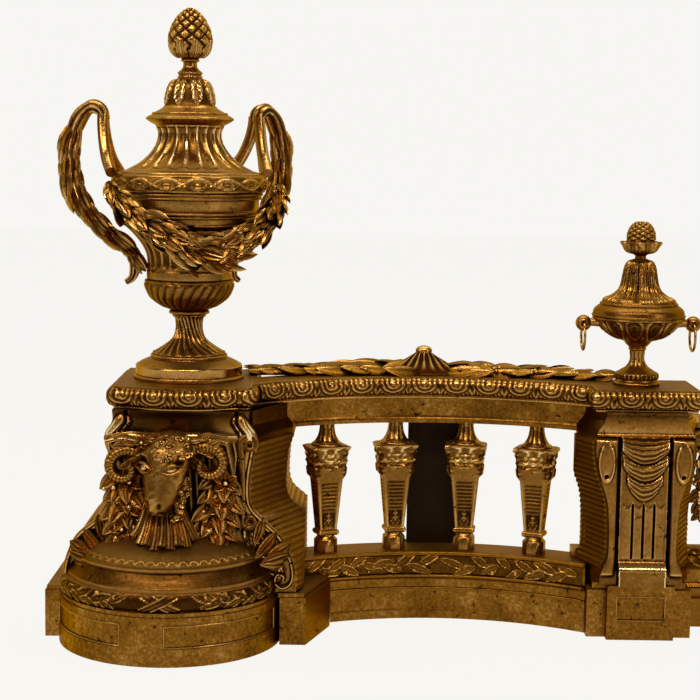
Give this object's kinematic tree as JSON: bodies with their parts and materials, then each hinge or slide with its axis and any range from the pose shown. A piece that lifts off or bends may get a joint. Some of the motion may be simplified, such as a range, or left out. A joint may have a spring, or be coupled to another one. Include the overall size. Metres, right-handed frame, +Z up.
{
  "type": "fire fender",
  "caption": "Gilt bronze fire fender with urn-topped end pedestals, curved balustrades and sliding centre rails.",
  "frame": {"origin": "under the middle of the centre base rail, on the hearth", "axes": "+X along the fender, -Y to the room (front), +Z up"},
  "size_m": [1.324, 0.3695, 0.462],
  "materials": {
    "gilt_bronze": "cast and chased gilt bronze, brown in the recesses",
    "patinated_bronze": "cast gilt bronze with worn, brown spotted gilding",
    "ring_brass": "drawn wire, dulled",
    "fixing_brass": "raw turned and sheared brass",
    "iron": "blackened wrought iron"
  },
  "bodies": {
    "left_section": {"left_plinth": "patinated_bronze", "left_pedestal": "gilt_bronze", "left_scrolls": "gilt_bronze", "left_ram_mount": "gilt_bronze", "left_top_rail": "gilt_bronze", "left_rail_garland": "gilt_bronze", "left_balusters": "gilt_bronze", "left_base_rail": "patinated_bronze", "left_small_plinth": "patinated_bronze", "left_small_pedestal": "gilt_bronze", "left_drapery": "gilt_bronze", "left_urn_foot": "gilt_bronze", "left_urn_bowl": "gilt_bronze", "left_urn_body": "gilt_bronze", "left_urn_neck": "gilt_bronze", "left_urn_dome": "gilt_bronze", "left_pinecone": "gilt_bronze", "left_handles": "gilt_bronze", "left_swag": "gilt_bronze", "left_cup_foot": "gilt_bronze", "left_cup_bowl": "gilt_bronze", "left_cup_lid": "gilt_bronze", "left_cup_finial": "gilt_bronze", "left_andiron": "iron", "left_fixings": "fixing_brass"},
    "centre": {"centre_top_rail": "gilt_bronze", "centre_base_rail": "patinated_bronze", "centre_wreath": "gilt_bronze", "centre_swags": "gilt_bronze"},
    "right_section": {"right_plinth": "patinated_bronze", "right_pedestal": "gilt_bronze", "right_scrolls": "gilt_bronze", "right_ram_mount": "gilt_bronze", "right_top_rail": "gilt_bronze", "right_rail_garland": "gilt_bronze", "right_balusters": "gilt_bronze", "right_base_rail": "patinated_bronze", "right_small_plinth": "patinated_bronze", "right_small_pedestal": "gilt_bronze", "right_drapery": "gilt_bronze", "right_urn_foot": "gilt_bronze", "right_urn_bowl": "gilt_bronze", "right_urn_body": "gilt_bronze", "right_urn_neck": "gilt_bronze", "right_urn_dome": "gilt_bronze", "right_pinecone": "gilt_bronze", "right_handles": "gilt_bronze", "right_swag": "gilt_bronze", "right_cup_foot": "gilt_bronze", "right_cup_bowl": "gilt_bronze", "right_cup_lid": "gilt_bronze", "right_cup_finial": "gilt_bronze", "right_andiron": "iron", "right_fixings": "fixing_brass"},
    "left_outer_ring": {"left_ring_outer": "ring_brass"},
    "left_inner_ring": {"left_ring_inner": "ring_brass"},
    "right_outer_ring": {"right_ring_outer": "ring_brass"},
    "right_inner_ring": {"right_ring_inner": "ring_brass"}
  },
  "joints": [
    {"name": "left_extension", "type": "slide", "parent": "left_section", "child": "centre", "axis": [1, 0, 0], "range_m": [-0.012, 0.03]},
    {"name": "right_extension", "type": "slide", "parent": "centre", "child": "right_section", "axis": [1, 0, 0], "range_m": [-0.012, 0.03]},
    {"name": "left_outer_ring_swing", "type": "hinge", "parent": "left_section", "child": "left_outer_ring", "pos_m": [-0.2655, -0.013, 0.234], "axis": [0, 1, 0], "range_deg": [-55, 85]},
    {"name": "left_inner_ring_swing", "type": "hinge", "parent": "left_section", "child": "left_inner_ring", "pos_m": [-0.1835, -0.013, 0.234], "axis": [0, 1, 0], "range_deg": [-85, 55]},
    {"name": "right_outer_ring_swing", "type": "hinge", "parent": "right_section", "child": "right_outer_ring", "pos_m": [0.2655, -0.013, 0.234], "axis": [0, 1, 0], "range_deg": [-85, 55]},
    {"name": "right_inner_ring_swing", "type": "hinge", "parent": "right_section", "child": "right_inner_ring", "pos_m": [0.1835, -0.013, 0.234], "axis": [0, 1, 0], "range_deg": [-55, 85]}
  ]
}
